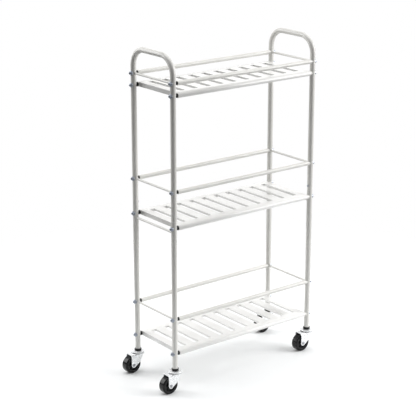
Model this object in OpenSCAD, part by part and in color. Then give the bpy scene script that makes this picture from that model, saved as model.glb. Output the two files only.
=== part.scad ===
// Slim three-tier rolling cart: two bent-tube end frames, three slatted shelves, guard rails and casters.
// Millimetres. X runs along the shelves, Y from the front to the back, Z up from the floor.

/* [End frames] */
// Distance between the left and right leg axes
leg_spacing_x = 476; // [360:2:620]
// Distance between the front and back leg axes
leg_spacing_y = 174; // [150:2:260]
// Height of the top of the handles above the floor
handle_top_z = 924; // [780:1:1040]
// Outside diameter of the leg tube
leg_d = 15; // [14:0.5:20]
// Wall of the leg tube
leg_wall = 1.2; // [0.8:0.1:1.8]
// Centreline radius of the handle bends
bend_r = 48; // [30:1:52]
// Height of the joint between upper frames and lower legs above the middle shelf axes
leg_joint_rise = 17; // [13:1:21]
// Length of the reduced neck inside the upper frame
leg_neck_l = 36; // [26:1:50]
// Radial clearance between a neck or plug and its tube
slip_clearance = 0.05; // [0.02:0.01:0.1]

/* [Shelves] */
// Height of the bottom shelf's edge tubes above the floor
bottom_shelf_z = 109; // [100:1:130]
// Height of the handles above the axes of the top guard rails
handle_rise = 75; // [70:1:90]
// Outside diameter of the tubes in the shelf edges
shelf_tube_d = 12; // [10:0.5:14]
// Thickness of the shelf sheet
sheet_t = 1; // [0.6:0.1:1.5]
// Distance from the leg axes to the ends of the shelf sheet
shelf_end_gap = 12.5; // [12:0.5:16]
// Height of the folded lip at each end of a shelf
end_lip_h = 12; // [8:0.5:14]
// Number of slots across a shelf
slot_count = 10; // [6:1:10]
// Width of one slot
slot_w = 16; // [10:0.5:20]
// Distance from one slot to the next
slot_pitch = 43.4; // [32:0.1:44]
// Solid margin between the slot ends and the edge-tube axes
slot_margin = 16; // [12:1:30]
// Corner radius of the slots
slot_corner_r = 3; // [1:0.5:4.5]
// Depth of the turned-down rim round each slot
slot_rim_h = 4.5; // [2:0.5:6]

/* [Rails and rods] */
// Height of the lower and middle guard rails above their shelf axes
rail_rise = 98; // [60:1:120]
// Height of the top guard rails above the top shelf axes
top_rail_rise = 32; // [26:1:36]
// Outside diameter of the long guard rails
rail_d = 12; // [9:0.5:14]
// Wall of the guard rails and the shelf edge tubes
rail_wall = 1; // [0.6:0.1:1.5]
// Diameter of the short guard rods between the legs
rod_d = 6; // [4:0.5:8]
// Distance of the cross bars below the middle shelf axes
cross_bar_drop = 12; // [10:0.5:14]

/* [End plugs and bolts] */
// Diameter of the flange on a rail plug
rail_plug_d = 9.2; // [8:0.1:12]
// Diameter of the flange on a shelf-tube plug
shelf_plug_d = 11.8; // [8:0.1:12]
// Thickness of the plug flange between a leg and a tube end
plug_flange_t = 5; // [2:0.5:8]
// Length of the plug inside its tube
plug_l = 18; // [14:1:30]
// Diameter of the frame bolts
bolt_d = 5; // [4:0.5:6]
// Diameter of the bolt heads
bolt_head_d = 10.4; // [8:0.2:12]
// Height of the bolt heads
bolt_head_h = 6.5; // [3:0.5:8]
// Radial clearance of the bolts in the legs
bolt_clearance = 0.2; // [0.1:0.05:0.4]
// Distance from the inner ends of the plugs back to the bolt ends
bolt_end_inset = 4; // [3:0.5:6]
// Height of the leg screws above the leg joint
leg_screw_rise = 15; // [10:1:22]
// Diameter of the leg screws
leg_screw_d = 3.6; // [3:0.1:4]
// Diameter of the leg screw heads
leg_screw_head_d = 6.4; // [5:0.2:8]
// Height of the leg screw heads
leg_screw_head_h = 2; // [1.5:0.1:3]

/* [Casters] */
// Wheel diameter over the tyre
wheel_d = 50; // [40:1:56]
// Tyre width
wheel_w = 20; // [14:1:24]
// Radial thickness of the tyre
tyre_t = 5; // [3:0.5:7]
// Radius of the tyre shoulders
tyre_shoulder_r = 2.5; // [1:0.5:3]
// Horizontal distance from the swivel axis to the wheel axle
caster_trail = 23; // [16:1:26]
// Gap between the top of the tyre and the fork plate
wheel_gap = 3.5; // [2:0.5:5]
// Running gap on each side of the wheel hub
wheel_side_gap = 0.3; // [0.2:0.1:0.5]
// Inset of the tyre faces from the hub faces
hub_stand_out = 1.2; // [0.8:0.1:2]
// Radial thickness of the hub rim under the tyre
hub_rim_t = 4; // [3:0.5:6]
// Thickness of the hub web between its boss and its rim
hub_web_t = 12; // [8:0.5:13]
// Radial step from an axle head to the edge of the hub boss
hub_boss_step = 1.5; // [1:0.1:2]
// Thickness of the fork sheet
fork_t = 2; // [1.5:0.1:3]
// Outside radius of the fold between the fork plate and its cheeks
fork_fold_r = 4; // [3:0.5:5]
// Radius of the rounded fork ends round the axle
fork_end_r = 7.5; // [6:0.5:9]
// Height above the axle at which the back edges of the fork cheeks bend
fork_knee_rise = 8; // [4:0.5:12]
// Diameter of the round fork plate
fork_plate_d = 36; // [30:1:37]
// Diameter of the wheel axle
axle_d = 6; // [5:0.5:8]
// Diameter of the axle heads
axle_head_d = 9; // [7:0.5:12]
// Height of the axle heads
axle_head_h = 1.6; // [1:0.1:2.5]
// Running clearance round the axle and the king pin
running_clearance = 0.08; // [0.02:0.01:0.1]
// Axial gap above and below the fork plate
swivel_gap = 0.3; // [0.3:0.05:0.5]
// Diameter of the fixed race under each leg
race_d = 38; // [38:1:44]
// Height of the race rim above the fork plate
race_rim_gap = 2; // [0.6:0.2:3]
// Thickness of the race
race_sheet_t = 2; // [1.6:0.1:2.6]
// Depth of the turned-down rim of the race
race_rim_h = 1; // [0.6:0.1:1.4]
// Width of the turned-down rim of the race
race_rim_w = 2.5; // [2:0.5:4]
// Diameter of the ball track raised on the fork plate
track_d = 27; // [24:1:30]
// Diameter of the king pin through the fork plate
king_pin_d = 9; // [8:0.5:11]
// Radial step from the king pin to the edge of its head
pin_head_step = 2; // [1.5:0.1:3]
// Height of the king pin head
pin_head_h = 2.2; // [1.8:0.1:2.6]
// Diameter of the stem inside the leg socket
stem_d = 8; // [6:0.5:9]
// Length of the stem above the race
stem_l = 26; // [20:1:36]
// Diameter of the black collar under each leg
collar_d = 19.6; // [19:0.2:26]
// Height of the collar
collar_h = 6.5; // [4:0.5:10]
// Length of the socket inside the leg
socket_l = 28; // [24:1:38]

/* [Hidden] */

$fn = 64;
white = [0.93, 0.93, 0.91];
black = [0.06, 0.06, 0.06];
zinc = [0.72, 0.74, 0.78];

leg_r = leg_d / 2;
leg_bore_r = leg_r - leg_wall;
neck_r = leg_bore_r - slip_clearance;
half_x = leg_spacing_x / 2;
half_y = leg_spacing_y / 2;
bend_z = handle_top_z - leg_r - bend_r;
// Length by which cuts run past the faces that they open
overcut = 1;

top_shelf_z = handle_top_z - handle_rise - top_rail_rise;
shelf_zs = [bottom_shelf_z, (bottom_shelf_z + top_shelf_z) / 2, top_shelf_z];
rail_zs = [shelf_zs[0] + rail_rise, shelf_zs[1] + rail_rise, shelf_zs[2] + top_rail_rise];
level_zs = concat(shelf_zs, rail_zs);
cross_bar_z = shelf_zs[1] - cross_bar_drop;
leg_joint_z = shelf_zs[1] + leg_joint_rise;
neck_top_z = leg_joint_z + leg_neck_l;
leg_screw_z = leg_joint_z + leg_screw_rise;

shelf_tube_r = shelf_tube_d / 2;
shelf_top = shelf_tube_r + sheet_t;
shelf_end_x = half_x - shelf_end_gap;
slot_l = leg_spacing_y - 2 * slot_margin;
rail_start = leg_r + plug_flange_t;

wheel_r = wheel_d / 2;
hub_r = wheel_r - tyre_t;
hub_w = wheel_w + 2 * hub_stand_out;
fork_inner_w = hub_w + 2 * wheel_side_gap;
fork_w = fork_inner_w + 2 * fork_t;
fork_plate_z = wheel_d + wheel_gap;
fork_top_z = fork_plate_z + fork_t;
race_rim_z = fork_top_z + race_rim_gap;
race_under_z = race_rim_z + race_rim_h;
race_top_z = race_under_z + race_sheet_t;
track_h = race_under_z - swivel_gap - fork_top_z;
leg_foot_z = race_top_z + collar_h;

// The wheels trail to the left, so the frame stands off the middle of the whole footprint.
frame_shift = (caster_trail + wheel_r - race_d / 2) / 2;

module rod_x(d, x0, x1) {
    translate([x0, 0, 0])
        rotate([0, 90, 0])
            cylinder(d = d, h = x1 - x0);
}

module rod_y(d, y0, y1) {
    translate([0, y0, 0])
        rotate([-90, 0, 0])
            cylinder(d = d, h = y1 - y0);
}

module at_leg(side_x, side_y) {
    translate([frame_shift + side_x * half_x, side_y * half_y, 0])
        children();
}

// ---- End frames ----

module bolt_holes() {
    for (z = level_zs)
        translate([0, 0, z])
            rod_x(bolt_d + 2 * bolt_clearance, -leg_d, leg_d);
}

module screw_hole(side_x) {
    translate([0, 0, leg_screw_z])
        rod_x(leg_screw_d, side_x > 0 ? -leg_d : 0, side_x > 0 ? 0 : leg_d);
}

module frame_path(r, foot_z) {
    for (side = [-1, 1])
        translate([0, side * half_y, foot_z])
            cylinder(r = r, h = bend_z - foot_z);
    for (side = [-1, 1])
        translate([0, side * (half_y - bend_r), bend_z])
            rotate([0, 0, side * 90])
                rotate([90, 0, 0])
                    rotate_extrude(angle = 90)
                        translate([bend_r, 0])
                            circle(r = r);
    translate([0, 0, bend_z + bend_r])
        rod_y(2 * r, bend_r - half_y, half_y - bend_r);
}

module upper_frame(side_x) {
    color(white)
        translate([frame_shift + side_x * half_x, 0, 0])
            difference() {
                frame_path(leg_r, leg_joint_z);
                frame_path(leg_bore_r, leg_joint_z - overcut);
                for (side_y = [-1, 1])
                    translate([0, side_y * half_y, 0]) {
                        bolt_holes();
                        screw_hole(side_x);
                    }
            }
}

module lower_leg(side_x, side_y) {
    color(white)
        at_leg(side_x, side_y)
            difference() {
                union() {
                    translate([0, 0, leg_foot_z])
                        cylinder(r = leg_r, h = leg_joint_z - leg_foot_z);
                    translate([0, 0, leg_joint_z - leg_wall])
                        cylinder(r = neck_r, h = neck_top_z - leg_joint_z + leg_wall);
                }
                translate([0, 0, leg_foot_z - overcut])
                    cylinder(r = leg_bore_r, h = leg_joint_z - leg_wall - leg_foot_z);
                translate([0, 0, leg_foot_z])
                    cylinder(r = neck_r - leg_wall, h = neck_top_z);
                bolt_holes();
                screw_hole(side_x);
            }
}

module leg_screws() {
    color(zinc)
        for (side_x = [-1, 1])
            for (side_y = [-1, 1])
                at_leg(side_x, side_y)
                    translate([0, 0, leg_screw_z])
                        mirror([side_x > 0 ? 1 : 0, 0, 0]) {
                            rod_x(leg_screw_d, neck_r - 2 * leg_wall, leg_r);
                            translate([leg_r, 0, 0])
                                rotate([0, 90, 0])
                                    dome(leg_screw_head_d, leg_screw_head_h);
                        }
}

// A low domed head that stands on z = 0
module dome(d, h) {
    edge = h / 3;
    rise = h - edge;
    ball_r = (d * d / 4 + rise * rise) / (2 * rise);
    cylinder(d = d, h = edge);
    translate([0, 0, edge])
        intersection() {
            translate([0, 0, h - edge - ball_r])
                sphere(r = ball_r);
            cylinder(d = d, h = h);
        }
}

// ---- Rods and bars across the end frames ----

module end_rod(side_x, z) {
    color(white)
        translate([frame_shift + side_x * half_x, 0, z])
            difference() {
                rod_y(rod_d, -half_y, half_y);
                for (side_y = [-1, 1])
                    translate([0, side_y * half_y, -leg_d])
                        cylinder(r = leg_r, h = 2 * leg_d);
            }
}

// ---- Long rails and shelf edge tubes ----

module leg_core(side_x) {
    translate([side_x * half_x, 0, -leg_d])
        cylinder(r = leg_r, h = 2 * leg_d);
}

module long_tube(d, side_y, z) {
    color(white)
        translate([frame_shift, side_y * half_y, z])
            difference() {
                rod_x(d, rail_start - half_x, half_x);
                rod_x(d - 2 * rail_wall, rail_start - half_x - overcut, half_x);
                leg_core(1);
            }
}

module left_plug(d, flange_d) {
    difference() {
        union() {
            rod_x(flange_d, -half_x, rail_start - half_x);
            rod_x(d - 2 * rail_wall - 2 * slip_clearance, rail_start - half_x, rail_start - half_x + plug_l);
        }
        leg_core(-1);
        rod_x(bolt_d, -half_x, half_x);
    }
}

module right_plug(d) {
    difference() {
        rod_x(d - 2 * rail_wall - 2 * slip_clearance, half_x - leg_r - plug_l, half_x);
        leg_core(1);
        rod_x(bolt_d, -half_x, half_x);
    }
}

module left_end_plugs() {
    color(black)
        for (side_y = [-1, 1])
            translate([frame_shift, side_y * half_y, 0]) {
                for (z = shelf_zs)
                    translate([0, 0, z])
                        left_plug(shelf_tube_d, min(shelf_plug_d, shelf_tube_d));
                for (z = rail_zs)
                    translate([0, 0, z])
                        left_plug(rail_d, min(rail_plug_d, rail_d));
            }
}

module right_end_plugs() {
    color(black)
        for (side_y = [-1, 1])
            translate([frame_shift, side_y * half_y, 0]) {
                for (z = shelf_zs)
                    translate([0, 0, z])
                        right_plug(shelf_tube_d);
                for (z = rail_zs)
                    translate([0, 0, z])
                        right_plug(rail_d);
            }
}

module frame_bolts(side_x) {
    color(zinc)
        for (side_y = [-1, 1])
            at_leg(side_x, side_y)
                for (z = level_zs)
                    translate([0, 0, z])
                        mirror([side_x > 0 ? 1 : 0, 0, 0]) {
                            rod_x(bolt_d, -leg_r, leg_r + plug_l - bolt_end_inset);
                            translate([-leg_r, 0, 0])
                                rotate([0, -90, 0])
                                    dome(bolt_head_d, bolt_head_h);
                        }
}

// ---- Shelves ----

// Slot, or the outside of the rim round it
module slot_outline(rim_t) {
    w = slot_w + 2 * rim_t;
    l = slot_l + 2 * rim_t;
    r = slot_corner_r + rim_t;
    square([w - 2 * r, l], center = true);
    square([w, l - 2 * r], center = true);
    for (sx = [-1, 1])
        for (sy = [-1, 1])
            translate([sx * (w / 2 - r), sy * (l / 2 - r)])
                circle(r = r);
}

// Sheet and the hems that wrap the edge tubes, seen along X
module shelf_section() {
    translate([-half_y, shelf_tube_r])
        square([2 * half_y, sheet_t]);
    for (side = [0, 1])
        mirror([side, 0])
            translate([half_y, 0])
                difference() {
                    circle(r = shelf_tube_r + sheet_t);
                    circle(r = shelf_tube_r);
                    translate([-2 * shelf_tube_d, -shelf_tube_d])
                        square([2 * shelf_tube_d, 2 * shelf_tube_d]);
                }
}

module slot_places() {
    for (i = [0 : slot_count - 1])
        translate([(i - (slot_count - 1) / 2) * slot_pitch, 0, shelf_tube_r])
            children();
}

module end_lips() {
    lip_w = 2 * (half_y - shelf_tube_r);
    for (side = [-1, 1])
        translate([side * (shelf_end_x - sheet_t / 2), 0, shelf_top - end_lip_h / 2])
            cube([sheet_t, lip_w, end_lip_h], center = true);
}

module shelf(z) {
    color(white)
        translate([frame_shift, 0, z])
            difference() {
                union() {
                    translate([-shelf_end_x, 0, 0])
                        rotate([90, 0, 90])
                            linear_extrude(height = 2 * shelf_end_x)
                                shelf_section();
                    slot_places()
                        translate([0, 0, -slot_rim_h])
                            linear_extrude(height = slot_rim_h)
                                slot_outline(sheet_t);
                    end_lips();
                }
                slot_places()
                    translate([0, 0, -2 * slot_rim_h])
                        linear_extrude(height = 4 * slot_rim_h)
                            slot_outline(0);
            }
}

// ---- Casters ----

module leg_socket() {
    color(black)
        difference() {
            union() {
                translate([0, 0, race_top_z])
                    cylinder(d = collar_d, h = collar_h);
                translate([0, 0, leg_foot_z])
                    cylinder(r = leg_bore_r - slip_clearance, h = socket_l);
            }
            translate([0, 0, race_top_z - overcut])
                cylinder(d = stem_d + 2 * slip_clearance, h = stem_l + 2 * overcut);
        }
}

// King pin, fixed race and stem, turned as one piece
module stem() {
    color(zinc)
        union() {
            translate([0, 0, race_top_z])
                cylinder(d = stem_d, h = stem_l);
            translate([0, 0, race_under_z])
                cylinder(d = race_d, h = race_sheet_t);
            translate([0, 0, race_rim_z])
                difference() {
                    cylinder(d = race_d, h = race_rim_h);
                    translate([0, 0, -overcut])
                        cylinder(d = race_d - 2 * race_rim_w, h = race_rim_h + 2 * overcut);
                }
            translate([0, 0, fork_plate_z - swivel_gap])
                cylinder(d = king_pin_d, h = race_top_z - fork_plate_z);
            translate([0, 0, fork_plate_z - swivel_gap - pin_head_h])
                cylinder(d = king_pin_d + 2 * pin_head_step, h = pin_head_h);
        }
}

// Inverted channel of folded sheet, seen along X
module fork_section() {
    difference() {
        fold_profile(fork_w, fork_top_z, fork_fold_r);
        fold_profile(fork_inner_w, fork_plate_z, fork_fold_r - fork_t);
    }
}

module fold_profile(w, top, r) {
    translate([-w / 2, 0])
        square([w, top - r]);
    translate([r - w / 2, 0])
        square([w - 2 * r, top]);
    for (side = [-1, 1])
        translate([side * (w / 2 - r), top - r])
            circle(r = r);
}

// Outline of a fork cheek, seen along Y
module cheek_outline() {
    front_x = -caster_trail - fork_end_r;
    slope = fork_end_r * sqrt(0.5);
    translate([-caster_trail, wheel_r])
        circle(r = fork_end_r);
    polygon([
        [front_x, wheel_r],
        [front_x, fork_top_z],
        [king_pin_d, fork_top_z],
        [0, wheel_r + fork_knee_rise],
        [slope - caster_trail, wheel_r - slope],
        [-caster_trail, wheel_r]
    ]);
}

module fork() {
    color(zinc)
        difference() {
            union() {
                intersection() {
                    translate([-2 * wheel_d, 0, 0])
                        rotate([90, 0, 90])
                            linear_extrude(height = 4 * wheel_d)
                                fork_section();
                    translate([0, wheel_d, 0])
                        rotate([90, 0, 0])
                            linear_extrude(height = 2 * wheel_d)
                                cheek_outline();
                }
                translate([0, 0, fork_plate_z])
                    cylinder(d = fork_plate_d, h = fork_t);
                translate([0, 0, fork_top_z])
                    cylinder(d = track_d, h = track_h);
            }
            translate([0, 0, fork_plate_z - overcut])
                cylinder(d = king_pin_d + 2 * running_clearance, h = fork_t + track_h + 2 * overcut);
            translate([-caster_trail, 0, wheel_r])
                rod_y(axle_d, -wheel_d, wheel_d);
        }
}

module axle() {
    color(zinc)
        translate([-caster_trail, 0, wheel_r]) {
            rod_y(axle_d, -fork_w / 2, fork_w / 2);
            for (side = [-90, 90])
                rotate([side, 0, 0])
                    translate([0, 0, fork_w / 2])
                        dome(axle_head_d, axle_head_h);
        }
}

module hub_half_section() {
    bore_r = axle_d / 2 + running_clearance;
    boss_r = axle_head_d / 2 + hub_boss_step;
    translate([bore_r, -hub_w / 2])
        square([boss_r - bore_r, hub_w]);
    translate([bore_r, -hub_web_t / 2])
        square([hub_r - bore_r, hub_web_t]);
    translate([hub_r - hub_rim_t, -wheel_w / 2])
        square([hub_rim_t, wheel_w]);
}

module hub() {
    color(black)
        translate([-caster_trail, 0, wheel_r])
            rotate([90, 0, 0])
                rotate_extrude()
                    hub_half_section();
}

module tyre_half_section() {
    shoulder = min(tyre_shoulder_r, tyre_t / 2);
    translate([hub_r, -wheel_w / 2])
        square([tyre_t - shoulder, wheel_w]);
    translate([hub_r, shoulder - wheel_w / 2])
        square([tyre_t, wheel_w - 2 * shoulder]);
    for (side = [-1, 1])
        translate([wheel_r - shoulder, side * (wheel_w / 2 - shoulder)])
            circle(r = shoulder);
}

module tyre() {
    color(black)
        translate([-caster_trail, 0, wheel_r])
            rotate([90, 0, 0])
                rotate_extrude()
                    tyre_half_section();
}

upper_frame(-1);  // left_upper_frame
upper_frame(1);  // right_upper_frame
lower_leg(-1, -1);  // front_left_leg
lower_leg(-1, 1);  // back_left_leg
lower_leg(1, -1);  // front_right_leg
lower_leg(1, 1);  // back_right_leg
shelf(shelf_zs[2]);  // top_shelf
shelf(shelf_zs[1]);  // middle_shelf
shelf(shelf_zs[0]);  // bottom_shelf
long_tube(shelf_tube_d, -1, shelf_zs[2]);  // top_shelf_front_tube
long_tube(shelf_tube_d, 1, shelf_zs[2]);  // top_shelf_back_tube
long_tube(shelf_tube_d, -1, shelf_zs[1]);  // middle_shelf_front_tube
long_tube(shelf_tube_d, 1, shelf_zs[1]);  // middle_shelf_back_tube
long_tube(shelf_tube_d, -1, shelf_zs[0]);  // bottom_shelf_front_tube
long_tube(shelf_tube_d, 1, shelf_zs[0]);  // bottom_shelf_back_tube
long_tube(rail_d, -1, rail_zs[2]);  // top_front_rail
long_tube(rail_d, 1, rail_zs[2]);  // top_back_rail
long_tube(rail_d, -1, rail_zs[1]);  // middle_front_rail
long_tube(rail_d, 1, rail_zs[1]);  // middle_back_rail
long_tube(rail_d, -1, rail_zs[0]);  // bottom_front_rail
long_tube(rail_d, 1, rail_zs[0]);  // bottom_back_rail
end_rod(-1, rail_zs[2]);  // top_left_rod
end_rod(1, rail_zs[2]);  // top_right_rod
end_rod(-1, rail_zs[1]);  // middle_left_rod
end_rod(1, rail_zs[1]);  // middle_right_rod
end_rod(-1, rail_zs[0]);  // bottom_left_rod
end_rod(1, rail_zs[0]);  // bottom_right_rod
end_rod(-1, cross_bar_z);  // left_cross_bar
end_rod(1, cross_bar_z);  // right_cross_bar
left_end_plugs();
right_end_plugs();
frame_bolts(-1);  // left_bolts
frame_bolts(1);  // right_bolts
leg_screws();
at_leg(-1, -1) leg_socket();  // front_left_socket
at_leg(-1, 1) leg_socket();  // back_left_socket
at_leg(1, -1) leg_socket();  // front_right_socket
at_leg(1, 1) leg_socket();  // back_right_socket
at_leg(-1, -1) stem();  // front_left_stem
at_leg(-1, 1) stem();  // back_left_stem
at_leg(1, -1) stem();  // front_right_stem
at_leg(1, 1) stem();  // back_right_stem
at_leg(-1, -1) fork();  // front_left_fork
at_leg(-1, 1) fork();  // back_left_fork
at_leg(1, -1) fork();  // front_right_fork
at_leg(1, 1) fork();  // back_right_fork
at_leg(-1, -1) axle();  // front_left_axle
at_leg(-1, 1) axle();  // back_left_axle
at_leg(1, -1) axle();  // front_right_axle
at_leg(1, 1) axle();  // back_right_axle
at_leg(-1, -1) hub();  // front_left_hub
at_leg(-1, 1) hub();  // back_left_hub
at_leg(1, -1) hub();  // front_right_hub
at_leg(1, 1) hub();  // back_right_hub
at_leg(-1, -1) tyre();  // front_left_tyre
at_leg(-1, 1) tyre();  // back_left_tyre
at_leg(1, -1) tyre();  // front_right_tyre
at_leg(1, 1) tyre();  // back_right_tyre
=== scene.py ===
"""Slim three-tier rolling cart: finishes, details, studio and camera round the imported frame."""

import logging
import math
from dataclasses import dataclass
from enum import Enum
from typing import Any, Callable, Iterable, Mapping, Sequence, Union

import bmesh
import bpy
from mathutils import Matrix, Vector


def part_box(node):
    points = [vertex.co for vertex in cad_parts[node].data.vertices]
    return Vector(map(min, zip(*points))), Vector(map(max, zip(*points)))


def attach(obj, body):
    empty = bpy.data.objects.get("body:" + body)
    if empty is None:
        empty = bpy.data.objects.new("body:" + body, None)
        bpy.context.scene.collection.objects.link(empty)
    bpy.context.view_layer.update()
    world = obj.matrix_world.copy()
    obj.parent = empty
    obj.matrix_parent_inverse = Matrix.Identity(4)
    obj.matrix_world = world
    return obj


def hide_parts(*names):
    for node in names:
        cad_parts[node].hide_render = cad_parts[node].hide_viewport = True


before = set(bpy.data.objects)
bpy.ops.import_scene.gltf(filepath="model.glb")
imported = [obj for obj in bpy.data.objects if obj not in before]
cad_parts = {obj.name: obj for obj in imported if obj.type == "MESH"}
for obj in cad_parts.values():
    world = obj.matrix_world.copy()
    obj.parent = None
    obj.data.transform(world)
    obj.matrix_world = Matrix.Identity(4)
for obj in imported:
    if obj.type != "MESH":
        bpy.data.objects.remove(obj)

LOG = logging.getLogger("cart")

MM = 0.001
HALF_TURN = math.pi
LEG_R = 7.5 * MM  # radius of the leg tube, which bolts, welds and lips follow
WELD_GAP = 1e-7  # points closer than this, in metres, become one
CAD_WELD_GAP = 2e-6  # the same for the meshes of CAD nodes
FLAT_ANGLE = math.radians(1.0)  # flatter edges than this are dissolved
SMOOTH_ANGLE = math.radians(32)  # sharper edges than this are shaded sharp
SHARP_ANGLE = math.radians(40)  # sharper edges than this are rounded off
MIX_FIRST, MIX_SECOND, MIX_RESULT = 6, 7, 2  # colour sockets of a Mix node

Triple = tuple[float, float, float]
Colour = Triple
Operand = Union["Number", float, int]


class Slot(Enum):
    """Material slots of the record."""

    ENAMEL = "white_enamel"
    ZINC = "zinc"
    PLASTIC = "black_plastic"
    TYRE = "black_tyre"


class Recess(Enum):
    """Driver recess in a fastener head."""

    HEX = "hex"
    CROSS = "cross"


class Corner(Enum):
    """The four legs, each as its name and its side along X."""

    FRONT_LEFT = ("front_left", -1)
    BACK_LEFT = ("back_left", -1)
    FRONT_RIGHT = ("front_right", 1)
    BACK_RIGHT = ("back_right", 1)


# ---- Shader helpers ----


class Number:
    """An output socket of a shader, which takes part in Python expressions."""

    def __init__(self, shader: "Shader", socket: bpy.types.NodeSocket) -> None:
        """Wraps one socket.

        Args:
            shader: The shader that owns the socket.
            socket: The output socket to wrap.
        """
        self.shader = shader
        self.socket = socket

    def _math(self, operation: str, first: Operand, second: Operand) -> "Number":
        """Adds one Math node for an operation on two operands."""
        return self.shader.node("ShaderNodeMath", {"operation": operation}, {0: first, 1: second})

    def __add__(self, other: Operand) -> "Number":
        """self + other."""
        return self._math("ADD", self, other)

    def __radd__(self, other: Operand) -> "Number":
        """other + self."""
        return self._math("ADD", other, self)

    def __sub__(self, other: Operand) -> "Number":
        """self - other."""
        return self._math("SUBTRACT", self, other)

    def __rsub__(self, other: Operand) -> "Number":
        """other - self."""
        return self._math("SUBTRACT", other, self)

    def __mul__(self, other: Operand) -> "Number":
        """self * other."""
        return self._math("MULTIPLY", self, other)

    def __rmul__(self, other: Operand) -> "Number":
        """other * self."""
        return self._math("MULTIPLY", other, self)

    def step(self, low: float, high: float) -> "Number":
        """Makes a smooth step from 0 to 1.

        Args:
            low: Where the step starts.
            high: Where it ends.

        Returns:
            The step.
        """
        return self.shader.node(
            "ShaderNodeMapRange",
            {"interpolation_type": "SMOOTHSTEP", "clamp": True},
            {0: self, 1: low, 2: high, 3: 0.0, 4: 1.0},
        )


class Shader:
    """A node tree put together from Python expressions."""

    def __init__(self, tree: bpy.types.NodeTree) -> None:
        """Takes up a node tree.

        Args:
            tree: The tree that gets the nodes.
        """
        self.tree = tree
        self._place: Number | None = None

    def node(
        self,
        kind: str,
        settings: Mapping[str, Any] | None = None,
        inputs: Mapping[Union[int, str], Any] | None = None,
        output: Union[int, str] = 0,
    ) -> Number:
        """Adds a node, with its settings first and its sockets after them.

        Args:
            kind: Type of the node.
            settings: Its properties.
            inputs: Values or links of its input sockets.
            output: Which output socket is wanted.

        Returns:
            The wanted output socket, wrapped.
        """
        made = self.tree.nodes.new(kind)
        for key, value in (settings or {}).items():
            setattr(made, key, value)
        for key, value in (inputs or {}).items():
            self.feed(made.inputs[key], value)
        return Number(self, made.outputs[output])

    def feed(self, socket: bpy.types.NodeSocket, value: Any) -> None:
        """Links a wrapped socket to an input, or sets the input's own value.

        Args:
            socket: The input socket.
            value: A wrapped socket, a colour or a value.
        """
        if isinstance(value, Number):
            self.tree.links.new(value.socket, socket)
        elif isinstance(value, tuple) and len(value) == 3 and socket.type == "RGBA":
            socket.default_value = (*value, 1.0)
        else:
            socket.default_value = value

    def place(self) -> Number:
        """Finds the point in the object's own coordinates, in metres.

        Returns:
            The coordinates.
        """
        if self._place is None:
            self._place = self.node("ShaderNodeTexCoord", output="Object")
        return self._place

    def stretched(self, scale: Triple) -> Number:
        """Stretches the object coordinates.

        Args:
            scale: Scale along each axis.

        Returns:
            The scaled coordinates.
        """
        return self.node("ShaderNodeMapping", inputs={"Vector": self.place(), "Scale": scale})

    def noise(
        self, scale: float, detail: float = 2.0, rough: float = 0.5, at: Number | None = None
    ) -> Number:
        """Makes soft noise from 0 to 1.

        Args:
            scale: Number of cells for each metre.
            detail: Number of finer octaves.
            rough: Share of the finer octaves.
            at: Coordinates; the object's own if left out.

        Returns:
            The noise.
        """
        return self.node(
            "ShaderNodeTexNoise",
            inputs={
                "Vector": at or self.place(),
                "Scale": scale,
                "Detail": detail,
                "Roughness": rough,
            },
        )

    def cells(self, scale: float) -> Number:
        """Distance to the middle of each cell of an irregular tiling."""
        return self.node("ShaderNodeTexVoronoi", inputs={"Vector": self.place(), "Scale": scale})

    def blend(self, share: Operand, first: Any, second: Any) -> Number:
        """Mixes two colours.

        Args:
            share: Share of the second colour.
            first: A colour, or the outcome of an earlier mix.
            second: A colour.

        Returns:
            The mixed colour.
        """
        return self.node(
            "ShaderNodeMix",
            {"data_type": "RGBA"},
            {0: share, MIX_FIRST: first, MIX_SECOND: second},
            MIX_RESULT,
        )

    def combined(self, operation: str, first: Any, second: Any) -> Number:
        """Combines two vectors.

        Args:
            operation: Vector Math operation.
            first: A wrapped vector or three numbers.
            second: A wrapped vector or three numbers.

        Returns:
            The outcome, which is a vector.
        """
        return self.node(
            "ShaderNodeVectorMath", {"operation": operation}, {0: first, 1: second}, "Vector"
        )

    def length(self, vector: Any) -> Number:
        """Length of a vector."""
        return self.node("ShaderNodeVectorMath", {"operation": "LENGTH"}, {0: vector}, "Value")


class Surface(Shader):
    """A node material with one Principled surface."""

    def __init__(self, name: str) -> None:
        """Makes an empty node material.

        Args:
            name: Name of the material.
        """
        self.material = bpy.data.materials.new(name)
        self.material.use_nodes = True
        super().__init__(self.material.node_tree)
        self.surface = self.tree.nodes["Principled BSDF"]

    def upward(self) -> Number:
        """Tells how far the surface faces up.

        Returns:
            A number from 0 to 1.
        """
        normal = self.node("ShaderNodeNewGeometry", output="Normal")
        split = self.node("ShaderNodeSeparateXYZ", inputs={0: normal}, output="Z")
        return split.step(0.2, 1.0)

    def relief(self, height: Number, depth: float, strength: float) -> None:
        """Feeds a bump to the surface's normal.

        Args:
            height: Height from 0 to 1.
            depth: Depth of the relief, in metres.
            strength: Strength of the bump.
        """
        bump = self.node(
            "ShaderNodeBump",
            inputs={"Height": height, "Distance": depth, "Strength": strength},
            output="Normal",
        )
        self.feed(self.surface.inputs["Normal"], bump)

    def dress(self, **sockets: Any) -> None:
        """Sets sockets of the surface.

        Args:
            **sockets: A value or link for each socket, named with underscores for blanks.
        """
        for key, value in sockets.items():
            self.feed(self.surface.inputs[key.replace("_", " ")], value)


# ---- Finishes ----


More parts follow.
